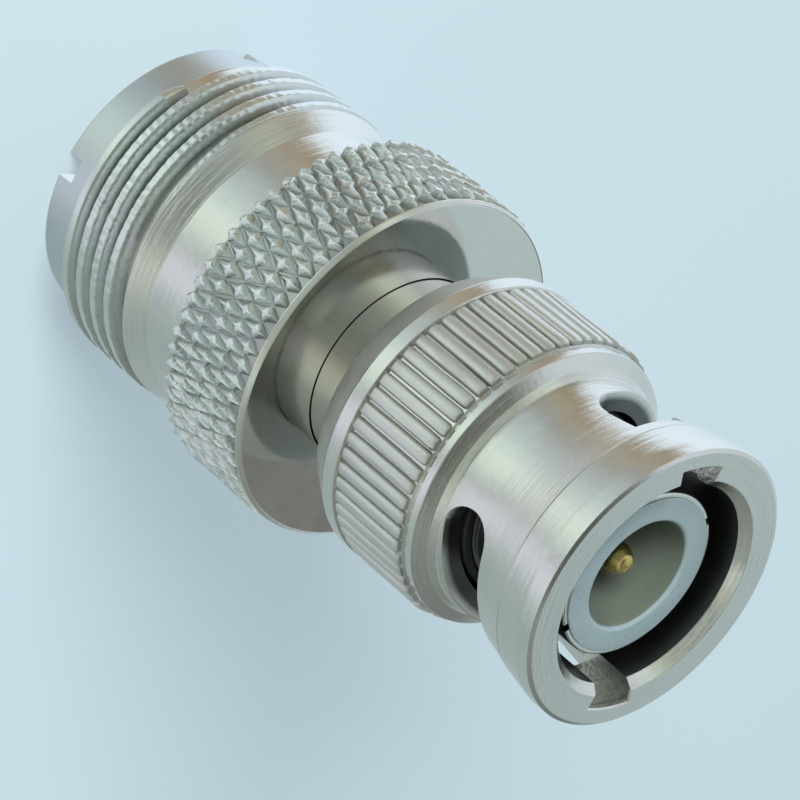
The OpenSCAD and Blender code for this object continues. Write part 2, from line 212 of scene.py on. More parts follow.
# %% Cards laid over the rings
# A card is a colour, then start, full, fade and end of its height, then the same of its bearing in degrees.
# Heights run from -1, straight down, to 1, straight up.
CARDS = [
    ((0.50, 0.57, 0.52), (0.67, 0.74, 0.86, 0.92), (-137, -122, -58, -43)),
    ((0.88, 1.02, 0.96), (0.58, 0.61, 0.70, 0.76), (-182, -181, -160, -148)),
    ((0.74, 0.86, 0.82), (0.62, 0.66, 0.76, 0.82), (-40, -32, -18, -8)),
    ((0.20, 0.205, 0.195), (0.550, 0.568, 0.80, 0.90), (43, 58, 90.5, 91)),
]
RINGS_MEET = (-0.30, 0.10)
OVERHEAD = (0.10, 0.105, 0.10)
OVERHEAD_HEIGHTS = (0.86, 0.94, 1.9, 2.0)
UNDERNEATH = (0.60, 0.60, 0.63)
UNDERNEATH_HEIGHTS = (-2.0, -1.9, -0.97, -0.80)
print("cards:", len(CARDS))

# %% Surroundings as a world shader
world = bpy.data.worlds.new("studio")
world.use_nodes = True
bpy.context.scene.world = world
sky = world.node_tree
sky.nodes.clear()
look = separate(sky, add_node(sky, "ShaderNodeTexCoord").outputs["Generated"])
bearing = math_node(sky, "ARCTAN2", look["Y"], look["X"])
bearing = times_plus(sky, bearing, 0.5 / math.pi, 0.5)
height = look["Z"]


def share_of_turn(degrees):
    return (degrees + 180) / 360


def ring_colour(stops):
    return colour_ramp(sky, bearing, [(share_of_turn(angle), colour) for angle, colour in stops])


def between(value, start, full, fade, end):
    rise = map_range(sky, value, start, full, kind="SMOOTHSTEP")
    fall = map_range(sky, value, end, fade, kind="SMOOTHSTEP")
    return times(sky, rise, fall)


lift = map_range(sky, height, *RINGS_MEET, kind="SMOOTHSTEP")
around = mixed_colour(sky, lift, ring_colour(RING_BELOW), ring_colour(RING_ABOVE))
around = mixed_colour(sky, between(height, *UNDERNEATH_HEIGHTS), around, (*UNDERNEATH, 1))
around = mixed_colour(sky, between(height, *OVERHEAD_HEIGHTS), around, (*OVERHEAD, 1))
for colour, heights, bearings in CARDS:
    wide = between(bearing, *(share_of_turn(angle) for angle in bearings))
    card = times(sky, between(height, *heights), wide)
    around = mixed_colour(sky, card, around, (*colour, 1))
seen = add_node(sky, "ShaderNodeLightPath").outputs["Is Camera Ray"]
shown = mixed_colour(sky, seen, around, (*PALE, 1))
glow = add_node(sky, "ShaderNodeBackground", {"Color": shown, "Strength": 1.0})
add_node(sky, "ShaderNodeOutputWorld", {"Surface": glow.outputs[0]})
print("surroundings have", len(sky.nodes), "nodes")

# %% One soft lamp on the camera's side
LAMP_WAY = Vector((-0.32, -0.76, 0.56)).normalized()
LAMP_DISTANCE = 0.5

lamp_data = bpy.data.lights.new("soft_lamp", "AREA")
lamp_data.shape = "DISK"
lamp_data.size = 0.24
lamp_data.energy = 2.4
lamp_data.color = (1.0, 0.99, 0.96)
lamp = linked(lamp_data)
facing_part = LAMP_WAY.to_track_quat("Z", "Y").to_matrix().to_4x4()
lamp.matrix_world = Matrix.Translation(LAMP_WAY * LAMP_DISTANCE) @ facing_part
lamp.visible_glossy = False
print("lamp of", lamp_data.size, "m at", [round(v, 2) for v in lamp.location])

# %% A plain pale floor
FLOOR_HALF = 2.0
FLOOR_GLOW = 0.40

floor_mesh = bpy.data.meshes.new("floor")
floor_corners = [(x * FLOOR_HALF, y * FLOOR_HALF, 0) for x, y in ((-1, -1), (1, -1), (1, 1), (-1, 1))]
floor_mesh.from_pydata(floor_corners, [], [(0, 1, 2, 3)])
floor = linked(floor_mesh)
floor_finish = bpy.data.materials.new("pale_floor")
floor_finish.use_nodes = True
tree = floor_finish.node_tree
tree.nodes.clear()
seen = add_node(tree, "ShaderNodeLightPath").outputs["Is Camera Ray"]
share = times(tree, seen, FLOOR_GLOW)
matt = add_node(tree, "ShaderNodeBsdfDiffuse", {"Color": (*PALE, 1)})
plain = add_node(tree, "ShaderNodeEmission", {"Color": (*PALE, 1), "Strength": 1.0})
mixed = add_node(tree, "ShaderNodeMixShader", {0: share, 1: matt.outputs[0], 2: plain.outputs[0]})
add_node(tree, "ShaderNodeOutputMaterial", {"Surface": mixed.outputs[0]})
floor_mesh.materials.append(floor_finish)
floor.visible_glossy = False
floor.visible_shadow = False
bpy.context.scene.view_settings.view_transform = "Standard"
print("floor of", round(floor.dimensions.x, 1), "m")

# %% [markdown]
# ## Finishes
# Nickel plate copies the surface under it. A turned wall carries fine rings from the tool, so its marks
# follow the radius and the height and hardly change round the axis. A knurl is pressed, so it is rougher and
# pitted. The marks are noise read at those coordinates, and drive a very shallow bump, while softer clouds
# drive colour and roughness. Some finishes also carry painted shade: their colour is darker towards the
# bottom of a thread, a knurl or a slot, by radius.


# %% Start a finish, and a bump for it
def new_finish(name):
    finish = bpy.data.materials.new(name)
    finish.use_nodes = True
    tree = finish.node_tree
    return finish, tree, tree.nodes["Principled BSDF"].inputs


def bump(tree, strength, depth, height, normal=None):
    inputs = {"Strength": strength, "Distance": depth, "Height": height}
    if normal is not None:
        inputs["Normal"] = normal
    return add_node(tree, "ShaderNodeBump", inputs).outputs[0]


# %% Nickel plate with turning marks
AROUND_SCALE = 260.0
CLOUD_SCALE = 420.0
MOTTLE_SCALE = 1700.0
GRAIN_SCALE = 7000.0
NOISE_RANGE = (0.3, 0.7)
MARK_DEPTH = 0.03 * MM
WORN_TONE = 0.93
WORN_UP_TO = 0.30
CLEAN_FROM = 0.65


def lathe_coordinates(tree, fine, slow):
    place = add_node(tree, "ShaderNodeTexCoord").outputs["Object"]
    x, y, z = separate(tree, place)
    square = times_plus(tree, x, x, times(tree, y, y))
    radius = math_node(tree, "SQRT", square)
    rings = combine(tree, times(tree, radius, fine), times(tree, z, fine), times(tree, x, slow))
    return rings, times(tree, y, slow), place, radius


def nickel(name, colour, roughness, marks, pits, fine=9000.0, spread=0.10, patches=0.05, painted_valley_shade=None):
    finish, tree, inputs = new_finish(name)
    rings, across_rings, place, radius = lathe_coordinates(tree, fine, AROUND_SCALE)
    line = add_node(tree, "ShaderNodeTexNoise", {
        "Vector": rings, "W": across_rings, "Scale": 1.0, "Detail": 3.0, "Roughness": 0.6},
        noise_dimensions="4D").outputs["Fac"]
    cloud = noise(tree, place, CLOUD_SCALE, detail=5.0, roughness=0.65)["Fac"]
    grain = noise(tree, place, GRAIN_SCALE, detail=4.0)["Fac"]
    mottle = noise(tree, place, MOTTLE_SCALE, detail=3.0)["Fac"]
    worn = tuple(c * WORN_TONE for c in colour)
    shade = colour_ramp(tree, cloud, [(WORN_UP_TO, worn), (CLEAN_FROM, colour)])
    # Painted shade: the colour darkens towards the floor of the valley, by radius.
    if painted_valley_shade:
        floor_radius, crest_radius, floor_share = painted_valley_shade
        valley_shade_factor = map_range(tree, radius, floor_radius * MM, crest_radius * MM, floor_share, 1.0)
        shade = mixed_colour(tree, 1.0, shade, valley_shade_factor, "MULTIPLY")
    relief = bump(tree, marks, MARK_DEPTH, line)
    relief = bump(tree, pits, MARK_DEPTH, grain, relief)
    relief = bump(tree, patches, MARK_DEPTH, mottle, relief)
    rough = map_range(tree, cloud, *NOISE_RANGE, roughness, roughness + spread)
    tree.links.new(shade, inputs["Base Color"])
    tree.links.new(rough, inputs["Roughness"])
    tree.links.new(relief, inputs["Normal"])
    inputs["Metallic"].default_value = 1.0
    return finish


# %% The nickel finishes
# A painted valley shade is the radius at the valley's floor and at its crest, and the share of the colour
# left at the floor: painted shade in the hollow.
NICKEL = (0.80, 0.785, 0.745)
COOL_NICKEL = (0.80, 0.83, 0.81)
DULL_NICKEL = (0.68, 0.72, 0.735)
SHADED_GREY_NICKEL = (0.46, 0.47, 0.45)
SHADED_NICKEL = (0.205, 0.21, 0.205)

nickel_mirror = nickel("nickel_mirror", NICKEL, 0.06, marks=0.04, pits=0.02, spread=0.05, patches=0.02)
nickel_smooth = nickel("nickel_smooth", NICKEL, 0.13, marks=0.10, pits=0.05)
nickel_turned = nickel("nickel_turned", NICKEL, 0.18, marks=1.0, pits=0.12, fine=4500.0, patches=0.45)
nickel_satin = nickel("nickel_satin", NICKEL, 0.46, marks=0.30, pits=0.20)
nickel_thread = nickel("nickel_thread", COOL_NICKEL, 0.20, marks=0.15, pits=0.40, painted_valley_shade=(7.40, 7.80, 0.68))
nickel_knurl = nickel("nickel_knurl", COOL_NICKEL, 0.20, marks=0.05, pits=0.70, painted_valley_shade=(8.45, 8.66, 0.74))
nickel_ridge = nickel("nickel_ridge", NICKEL, 0.36, marks=0.05, pits=0.60, painted_valley_shade=(6.96, 7.12, 0.76))
nickel_slot = nickel("nickel_slot", NICKEL, 0.25, marks=0.30, pits=0.20, painted_valley_shade=(5.50, 5.78, 0.16))
nickel_face = nickel("nickel_face", NICKEL, 0.20, marks=0.35, pits=0.15)
nickel_dull = nickel("nickel_dull", DULL_NICKEL, 0.32, marks=0.25, pits=0.20)
# Painted shade: a darker copy of the nickel for the collar's floor between the studs and the nut's rear
# face.
nickel_grey = nickel("nickel_grey", SHADED_GREY_NICKEL, 0.22, marks=0.20, pits=0.15)
# Painted shade: a dark copy of the nickel for deep walls inside the nut, under it on the body, and in the
# neck's seam.
nickel_inside = nickel("nickel_inside", SHADED_NICKEL, 0.34, marks=0.30, pits=0.20, fine=5000.0)
print("nickel finishes:", [m.name for m in bpy.data.materials if m.name.startswith("nickel")])

# %% Gold, steel, white insulator and black rubber
SMOOTH_DEPTH = 0.02 * MM
FINER_GRAIN = 9
ROUGH_SPREAD = 0.15


def plain_finish(name, low, high, scale, roughness, metallic=0.0, relief=0.1):
    finish, tree, inputs = new_finish(name)
    place = add_node(tree, "ShaderNodeTexCoord").outputs["Object"]
    cloud = noise(tree, place, scale, detail=5.0)["Fac"]
    grain = noise(tree, place, scale * FINER_GRAIN, detail=3.0)["Fac"]
    smoother, rougher = roughness * (1 - ROUGH_SPREAD), roughness * (1 + ROUGH_SPREAD)
    rough = map_range(tree, grain, *NOISE_RANGE, smoother, rougher)
    tree.links.new(colour_ramp(tree, cloud, list(zip(NOISE_RANGE, (low, high)))), inputs["Base Color"])
    tree.links.new(rough, inputs["Roughness"])
    tree.links.new(bump(tree, relief, SMOOTH_DEPTH, grain), inputs["Normal"])
    inputs["Metallic"].default_value = metallic
    return finish


gold_plate = plain_finish("gold_plate", (0.64, 0.46, 0.14), (0.80, 0.61, 0.24), 900.0, 0.28, metallic=1.0)
steel_strip = plain_finish("steel_strip", (0.48, 0.48, 0.47), (0.58, 0.58, 0.57), 700.0, 0.34, metallic=1.0)
white_insulator = plain_finish("white_insulator", (0.285, 0.375, 0.41), (0.33, 0.42, 0.455), 600.0, 0.30,
                               relief=0.02)
shaded_insulator = plain_finish("shaded_insulator", (0.165, 0.20, 0.17), (0.195, 0.23, 0.195), 500.0, 0.40,
                                relief=0.02)
black_rubber = plain_finish("black_rubber", (0.012, 0.012, 0.013), (0.02, 0.02, 0.021), 900.0, 0.55,
                            relief=0.2)
print("other finishes:", gold_plate.name, steel_strip.name, white_insulator.name, black_rubber.name)

# %% Let light into the insulators
for finish, share, depth in ((white_insulator, 0.55, 0.7), (shaded_insulator, 0.85, 1.8)):
    milky = finish.node_tree.nodes["Principled BSDF"].inputs
    milky["Subsurface Weight"].default_value = share
    milky["Subsurface Radius"].default_value = (1.0, 1.0, 0.9)
    milky["Subsurface Scale"].default_value = depth * MM
    print(finish.name, "lets light in by", depth, "mm")

# %% [markdown]
# ## Turned pieces
# A lathe makes most of this object, so one helper does too. It takes the corners of half a section, rounds
# each corner with a small arc, and spins the outline round the axis. A corner is a radius, a height and, if
# it isn't the usual one, the radius of its edge. Every point knows its true direction from the outline, so a
# flat face stays flat right up to its rounded edge, which a mirror finish needs. A cut, such as a notch or a
# slit, pushes points along the axis in the columns that it covers.

# %% Round the corners of a section
USUAL_EDGE = 0.03
EDGE_STEPS = 3
LONGEST_EDGE = 0.45


def right_of(way):
    return np.array((way[1], -way[0]))


def rounded_outline(corners, closed=True):
    points, normals = [], []
    count = len(corners)
    for k, corner in enumerate(corners):
        here = np.array(corner[:2], float)
        radius = corner[2] if len(corner) > 2 else USUAL_EDGE
        before, after = corners[k - 1], corners[(k + 1) % count]
        if not closed and k in (0, count - 1):
            other = np.array((after if k == 0 else before)[:2], float)
            way = (other - here) if k == 0 else (here - other)
            points.append(here)
            normals.append(right_of(way / np.linalg.norm(way)))
            continue
        a = here - np.array(before[:2], float)
        b = np.array(after[:2], float) - here
        la, lb = np.linalg.norm(a), np.linalg.norm(b)
        a, b = a / la, b / lb
        bend = math.atan2(a[0] * b[1] - a[1] * b[0], float(a @ b))
        steep = abs(math.tan(bend / 2))
        reach = min(steep * radius, LONGEST_EDGE * la, LONGEST_EDGE * lb)
        radius = reach / max(steep, 1e-9)
        side = 1.0 if bend > 0 else -1.0
        first = right_of(a)
        centre = here - a * reach - side * first * radius
        for s in range(EDGE_STEPS + 1):
            t = bend * s / EDGE_STEPS
            c, d = math.cos(t), math.sin(t)
            normal = np.array((first[0] * c - first[1] * d, first[0] * d + first[1] * c))
            points.append(centre + side * normal * radius)
            normals.append(normal)
    return np.array(points), np.array(normals)


# %% Columns round the axis, and cuts in them
CUT_EDGE = 0.004
CUT_SLACK = 0.002
FULL_TURN = 2 * math.pi


def quarter_turns(first_degrees):
    return [math.radians(first_degrees + 90 * i) for i in range(4)]


def column_angles(count, centres=(), half=0.0):
    angles = set(round(FULL_TURN * i / count, 7) for i in range(count))
    for centre in centres:
        for edge in (-half, half):
            near = math.copysign(CUT_EDGE, edge)
            for angle in (centre + edge, centre + edge - near):
                angles.add(round(angle % FULL_TURN, 7))
    return sorted(angles)


def away(angle, centre):
    return abs((angle - centre + math.pi) % FULL_TURN - math.pi)


def cut_to(floor, centres, half, keep):
    def cut(angle, z):
        inside = any(away(angle, centre) < half - CUT_SLACK for centre in centres)
        return keep(z, floor) if inside else z

    return cut


# %% Spin a section round the axis
SAME_POINT = 1e-8
TRUE_LIMIT = 0.9


def dress(mesh, finishes):
    mesh.materials.clear()
    for finish in finishes:
        mesh.materials.append(finish)


def spun_points(outline, angles, cut):
    index, places, known = {}, [], {}
    for i, angle in enumerate(angles):
        for j, (r, z) in enumerate(outline):
            level = cut(angle, z) if cut else z
            place = (r * math.cos(angle) * MM, r * math.sin(angle) * MM, level * MM)
            key = tuple(round(v / SAME_POINT) for v in place)
            if key not in known:
                known[key] = len(places)
                places.append(place)
            index[i, j] = known[key]
    return index, places


def spin(name, section, angles, finishes, cut=None, closed=True, finish_of=None):
    outline, normals = rounded_outline(section, closed)
    rows, columns = len(outline), len(angles)
    index, places = spun_points(outline, angles, cut)
    bands = [(j, (j + 1) % rows) for j in range(rows if closed else rows - 1)]
    middles = [(outline[j] + outline[m]) / 2 for j, m in bands]
    row_slots = [finishes.index(finish_of(middle)) if finish_of else 0 for middle in middles]
    faces, corners, slots = [], [], []
    for i in range(columns):
        k = (i + 1) % columns
        for j, m in bands:
            loop = [(i, j), (k, j), (k, m), (i, m)]
            unique = [q for n, q in enumerate(loop) if index[q] != index[loop[n - 1]]]
            if len({index[q] for q in unique}) < 3:
                continue
            faces.append([index[q] for q in unique])
            corners.append(unique)
            slots.append(row_slots[j])
    mesh = bpy.data.meshes.new(name)
    mesh.from_pydata(places, [], faces)
    mesh.shade_smooth()
    dress(mesh, finishes)
    directions = []
    for face, unique in zip(mesh.polygons, corners):
        face.material_index = slots[face.index]
        true = []
        for i, j in unique:
            n, angle = normals[j], angles[i]
            true.append(Vector((n[0] * math.cos(angle), n[0] * math.sin(angle), n[1])))
        agrees = sum(true, Vector()).normalized().dot(face.normal) > TRUE_LIMIT
        directions += [tuple(v if agrees else face.normal) for v in true]
    mesh.normals_split_custom_set(directions)
    return linked(mesh)


# %% [markdown]
# ## The threaded shell
# The shell is one turned piece: a notched rim, the thread's root, a run-out cone, a relief and the collar.
# Its front face is polished flat and mirrors the neck. The notches are cut by lifting the rim's points
# inside each notch to the notch's floor, which keeps the spun mesh clean without a Boolean.

# %% Section of the shell
RIM_RADIUS = 7.05
RIM_END = 2.05
MOUTH_RADIUS = 5.6
MOUTH_FLOOR = 3.0
THREAD_ROOT = 7.28
THREAD_START = 2.30
THREAD_END = 6.86
RUNOUT_RADIUS = 7.84
RUNOUT_Z = 7.12
RELIEF_RADIUS = 7.35
RELIEF_START = 8.40
COLLAR_BACK = 11.45
COLLAR_ROOT = 8.46
COLLAR_EDGE = 8.60
COLLAR_FRONT = 16.80
KNURL_START = 11.62
KNURL_END = 16.53
SCORE_RADIUS = 8.435
FACE_RADIUS = 8.40
PRESS_RADIUS = 4.75
BUSH_SEAT = 5.41
BODY_SEAT = 4.71
SEATS_MEET = 11.0
PRESS_LINE = 16.45

shell_section = [
    (MOUTH_RADIUS, 0.0, 0.10), (RIM_RADIUS, 0.0, 0.18), (RIM_RADIUS, RIM_END, 0.06),
    (7.30, 2.20, 0.05), (THREAD_ROOT, THREAD_START, 0.05), (THREAD_ROOT, THREAD_END, 0.10),
    (RUNOUT_RADIUS, RUNOUT_Z, 0.10), (RELIEF_RADIUS, RELIEF_START, 0.25), (RELIEF_RADIUS, COLLAR_BACK, 0.05),
    (8.30, COLLAR_BACK, 0.08), (COLLAR_ROOT, KNURL_START, 0.05), (COLLAR_ROOT, KNURL_END, 0.03),
    (COLLAR_EDGE, 16.58, 0.03), (COLLAR_EDGE, 16.65, 0.03), (8.46, COLLAR_FRONT, 0.03),
    (SCORE_RADIUS, 16.765, 0.01), (FACE_RADIUS, COLLAR_FRONT, 0.01), (PRESS_RADIUS, COLLAR_FRONT, 0.01),
    (4.745, PRESS_LINE, 0.02), (BODY_SEAT, PRESS_LINE, 0.02), (BODY_SEAT, SEATS_MEET, 0.03),
    (BUSH_SEAT, SEATS_MEET, 0.03), (BUSH_SEAT, MOUTH_FLOOR, 0.03), (MOUTH_RADIUS, MOUTH_FLOOR, 0.03),
]
print("shell section has", len(shell_section), "corners")

# %% Shell body with its notches
NOTCH_TURN = quarter_turns(19.7)
NOTCH_DEPTH = 1.0
NOTCH_HALF = 0.6 / RIM_RADIUS
EDGE_ROOM = 0.04


def shell_finish(middle):
    r, z = middle
    outside = r > RIM_RADIUS - EDGE_ROOM
    if outside and THREAD_END + EDGE_ROOM < z < COLLAR_BACK - EDGE_ROOM:
        return nickel_turned
    if outside and z < RIM_END + EDGE_ROOM:
        return nickel_dull
    if PRESS_RADIUS + 0.005 < r < FACE_RADIUS and z > COLLAR_FRONT - EDGE_ROOM:
        return nickel_mirror
    # Painted shade on the collar's floor between the diamond studs.
    if r > FACE_RADIUS and z < KNURL_END:
        return nickel_grey
    # Painted shade on the walls of the seam where the neck is pressed into the shell.
    in_seam = r < PRESS_RADIUS + 0.01 and z > PRESS_LINE - EDGE_ROOM
    return nickel_inside if in_seam else nickel_smooth


shell = spin("threaded_shell", shell_section, column_angles(240, NOTCH_TURN, NOTCH_HALF),
             (nickel_smooth, nickel_turned, nickel_dull, nickel_mirror, nickel_inside, nickel_grey),
             cut=cut_to(NOTCH_DEPTH, NOTCH_TURN, NOTCH_HALF, keep=max), finish_of=shell_finish)
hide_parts("uhf_shell")
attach(shell, "adapter")
print("shell body:", len(shell.data.polygons), "faces")

# %% [markdown]
# ## The outside thread
# A thread is a ridge that follows a helix, so Geometry Nodes sweep a small trapezoid along a spiral. The
# ridge fades in and out at its ends, where the cut starts and stops. The spiral is reversed, because the
# thread is right-handed. A shaking tool leaves even chatter marks on the crest, strongest on two sides, so a
# small wave runs round it there. A little noise on top gives the beaded sparkle of a rough thread.


# %% Start a Geometry Nodes tree with named inputs
def new_tree(name, sizes):
    tree = bpy.data.node_groups.new(name, "GeometryNodeTree")
    tree.interface.new_socket("Geometry", in_out="OUTPUT", socket_type="NodeSocketGeometry")
    kinds = {int: "NodeSocketInt", float: "NodeSocketFloat"}
    sockets = {}
    for key, value in sizes.items():
        if isinstance(value, bpy.types.Material):
            kind = "NodeSocketMaterial"
        elif isinstance(value, bpy.types.Object):
            kind = "NodeSocketObject"
        else:
            kind = kinds[type(value)]
        sockets[key] = tree.interface.new_socket(key, in_out="INPUT", socket_type=kind)
    given = tree.nodes.new("NodeGroupInput")
    return tree, sockets, given.outputs


def set_place(tree, geometry, way, value):
    return add_node(tree, "GeometryNodeSetPosition", {"Geometry": geometry, way: value}).outputs[0]


def out_of(tree, geometry, material):
    real = add_node(tree, "GeometryNodeRealizeInstances", {"Geometry": geometry})
    inputs = {"Geometry": real.outputs[0], "Material": material}
    dressed = add_node(tree, "GeometryNodeSetMaterial", inputs)
    add_node(tree, "NodeGroupOutput", {"Geometry": dressed.outputs[0]})


# %% Grow a tree into a plain mesh
def evaluated_mesh(piece):
    view = bpy.context.evaluated_depsgraph_get()
    return bpy.data.meshes.new_from_object(piece.evaluated_get(view), depsgraph=view)


def grow(name, tree, sockets, sizes):
    holder = linked(bpy.data.meshes.new(name + "_holder"))
    modifier = holder.modifiers.new(name, "NODES")
    modifier.node_group = tree
    for key, value in sizes.items():
        modifier[sockets[key].identifier] = value
    mesh = evaluated_mesh(holder)
    mesh.name = name
    bpy.data.objects.remove(holder)
    return linked(mesh)


def smooth_between(piece, degrees):
    piece.data.shade_smooth()
    piece.data.set_sharp_from_angle(angle=math.radians(degrees))


# %% Sizes of the thread
thread_sizes = {
    "Turns": 4.15,
    "Pitch": 1.058 * MM,
    "Start Z": 2.60 * MM,
    "Radius": (THREAD_ROOT - 0.04) * MM,
    "Foot": 1.02 * MM,
    "Crest": 0.40 * MM,
    "Height": 0.68 * MM,
    "Edge": 0.08 * MM,
    "Beading": 0.07 * MM,
    "Chatter": 0.014 * MM,
    "Chatter Marks": 103.0,
    "Chatter Side": math.radians(19),
    "Start Angle": math.radians(241),
    "Finish": nickel_thread,
}
tree, sockets, given = new_tree("outside_thread", thread_sizes)
print("thread has", thread_sizes["Turns"], "turns")

# %% Sweep the thread's section along a spiral
SPIRAL_STEPS = 720
FADE_IN = (0.0, 0.006, 0.55, 1.0)
FADE_OUT = (0.94, 1.0, 1.0, 0.3)

spiral = add_node(tree, "GeometryNodeCurveSpiral", {
    "Reverse": True, "Resolution": SPIRAL_STEPS, "Rotations": given["Turns"],
    "Start Radius": given["Radius"], "End Radius": given["Radius"],
    "Height": times(tree, given["Turns"], given["Pitch"])})
upright = add_node(tree, "GeometryNodeSetCurveNormal", {"Curve": spiral.outputs[0]}, mode="Z_UP")
along = add_node(tree, "GeometryNodeSplineParameter").outputs["Factor"]
swell = times(tree, map_range(tree, along, *FADE_IN), map_range(tree, along, *FADE_OUT))
section = add_node(tree, "GeometryNodeCurvePrimitiveQuadrilateral", {
    "Bottom Width": given["Foot"], "Top Width": given["Crest"], "Height": given["Height"], "Offset": 0.0},
    mode="TRAPEZOID")
lifted = add_node(tree, "GeometryNodeTransform", {
    "Geometry": section.outputs[0], "Rotation": (0, 0, -math.pi / 2),
    "Translation": combine(tree, times(tree, given["Height"], 0.5))})
softened = add_node(tree, "GeometryNodeFilletCurve", {
    "Curve": lifted.outputs[0], "Radius": given["Edge"], "Count": EDGE_STEPS}, mode="POLY")
swept = add_node(tree, "GeometryNodeCurveToMesh", {
    "Curve": upright.outputs[0], "Profile Curve": softened.outputs[0], "Scale": swell, "Fill Caps": True})
print("thread's sweep has", len(tree.nodes), "nodes")

# %% Chatter marks and beads on the thread
BEAD_SCALE = 3200.0
BEAD_MIDDLE = 0.55
CHATTER_WANDER = 5.0
CHATTER_NARROW = 6.0
CLEAN_START = (0.7 * MM, 1.0 * MM)

place = add_node(tree, "GeometryNodeInputPosition").outputs[0]
flat = vector_math(tree, "MULTIPLY", {0: place, 1: (1, 1, 0)})
outward = vector_math(tree, "NORMALIZE", {0: flat})
rough = noise(tree, place, BEAD_SCALE, detail=0.0)[0]
x, y, z = separate(tree, place)
bearing = math_node(tree, "ARCTAN2", y, x)
wander = times(tree, rough, CHATTER_WANDER)
wave = math_node(tree, "SINE", times_plus(tree, bearing, given["Chatter Marks"], wander))
side = math_node(tree, "COSINE", math_node(tree, "SUBTRACT", bearing, given["Chatter Side"]))
window = math_node(tree, "POWER", math_node(tree, "ABSOLUTE", side), CHATTER_NARROW)
marks = times(tree, times(tree, wave, given["Chatter"]), window)
beads = math_node(tree, "SUBTRACT", rough, BEAD_MIDDLE)
beads = times_plus(tree, beads, given["Beading"], marks)
beads = times(tree, beads, map_range(tree, z, *CLEAN_START))
shift = vector_math(tree, "SCALE", {0: outward, "Scale": beads})
beaded = set_place(tree, swept.outputs[0], "Offset", shift)
print("thread's tree has", len(tree.nodes), "nodes")

# %% Set the thread on the shell
placed = add_node(tree, "GeometryNodeTransform", {
    "Geometry": beaded, "Translation": combine(tree, z=given["Start Z"]),
    "Rotation": combine(tree, z=given["Start Angle"])})
out_of(tree, placed.outputs[0], given["Finish"])
thread = grow("outside_thread", tree, sockets, thread_sizes)
smooth_between(thread, 50)
reach = [math.hypot(v.co.x, v.co.y) / MM for v in thread.data.vertices]
tall = [v.co.z / MM for v in thread.data.vertices]
print("thread:", len(thread.data.polygons), "faces, radius", round(min(reach), 2), "to",
      round(max(reach), 2), "and Z", round(min(tall), 2), "to", round(max(tall), 2))
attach(thread, "adapter")

# %% [markdown]
# ## The collar's diamond knurl
# Two sets of slanting teeth roll a field of diamonds into the collar. Each diamond is one small stud.
# Geometry Nodes set studs in staggered rows round the collar and vary each one a little, because a rolled
# knurl is never quite even. Points that pass the ends of the collar are drawn back to its edges.


# %% Meshes made of rings of points
def plain_mesh(name, places, faces):
    mesh = bpy.data.meshes.new(name)
    mesh.from_pydata([tuple(v * MM for v in place) for place in places], [], faces)
    return mesh


def side_faces(rings, count, closed=True):
    faces = []
    for ring in range(rings - 1):
        for k in range(count if closed else count - 1):
            a, b = ring * count + k, ring * count + (k + 1) % count
            faces.append((a, b, b + count, a + count))
    return faces


def end_faces(rings, count):
    return [tuple(range(count))[::-1], tuple(range((rings - 1) * count, rings * count))]


# %% One diamond stud
def stud_mesh(name, wide, tall, levels, top):
    ring = [(0.5, 0.0), (0.25, 0.25), (0.0, 0.5), (-0.25, 0.25),
            (-0.5, 0.0), (-0.25, -0.25), (0.0, -0.5), (0.25, -0.25)]
    places = []
    for height, ridge, hollow in levels:
        for k, (y, z) in enumerate(ring):
            scale = hollow if k % 2 else ridge
            places.append((height, y * wide * scale, z * tall * scale))
    count = len(ring)
    tip = len(places)
    places.append((top, 0, 0))
    last = tip - count
    roof = [(last + k, last + (k + 1) % count, tip) for k in range(count)]
    return plain_mesh(name, places, side_faces(len(levels), count) + roof)


# %% Points in staggered rows round the axis
SEEDS = {"turn": 3, "height": 4, "tip": 5, "lean": 6, "depth": 7, "width": 8, "length": 9}
TURN_SHARE = 0.35
TILT_SHARE = 0.8
DEPTH_SHARE = 2.0
DEPTH_MEAN = 0.94


def vary(tree, given, number, what):
    # The plain number's lowest and highest value are sockets 2 and 3, and its result is output 1.
    inputs = {2: -1.0, 3: 1.0, "ID": number, "Seed": SEEDS[what]}
    made = add_node(tree, "FunctionNodeRandomValue", inputs)
    return times(tree, made.outputs[1], given["Uneven"])


def staggered_points(tree, given, number):
    count = times(tree, given["Round"], given["Rows"])
    line = add_node(tree, "GeometryNodeMeshLine", {"Count": count, "Offset": (0, 0, 0)})
    half_on = plus(tree, number, 0.5)
    row = math_node(tree, "FLOOR", math_node(tree, "DIVIDE", half_on, given["Round"]))
    column = math_node(tree, "MODULO", number, given["Round"])
    stagger = times(tree, math_node(tree, "MODULO", row, 2.0), 0.5)
    sway = times(tree, vary(tree, given, number, "turn"), TURN_SHARE)
    step = plus(tree, plus(tree, column, stagger), sway)
    angle = math_node(tree, "DIVIDE", times(tree, step, FULL_TURN), given["Round"])
    height = times_plus(tree, row, given["Step"], given["First Z"])
    height = times_plus(tree, vary(tree, given, number, "height"), given["Step"], height)
    spot = combine(tree, times(tree, math_node(tree, "COSINE", angle), given["Radius"]),
                   times(tree, math_node(tree, "SINE", angle), given["Radius"]), height)
    return set_place(tree, line.outputs[0], "Position", spot), angle


# %% Dents, and ends held between two heights
DENT_SCALE = 3200.0


def dented(tree, given, geometry):
    place = add_node(tree, "GeometryNodeInputPosition").outputs[0]
    dents = noise(tree, place, DENT_SCALE, detail=2.0)[1]
    dents = vector_math(tree, "SUBTRACT", {0: dents, 1: (0.5, 0.5, 0.5)})
    shift = vector_math(tree, "SCALE", {0: dents, "Scale": given["Dents"]})
    return set_place(tree, geometry, "Offset", shift)


def held(tree, given, geometry):
    x, y, z = separate(tree, add_node(tree, "GeometryNodeInputPosition").outputs[0])
    level = add_node(tree, "ShaderNodeClamp", {0: z, 1: given["Low"], 2: given["High"]}).outputs[0]
    return set_place(tree, geometry, "Position", combine(tree, x, y, level))


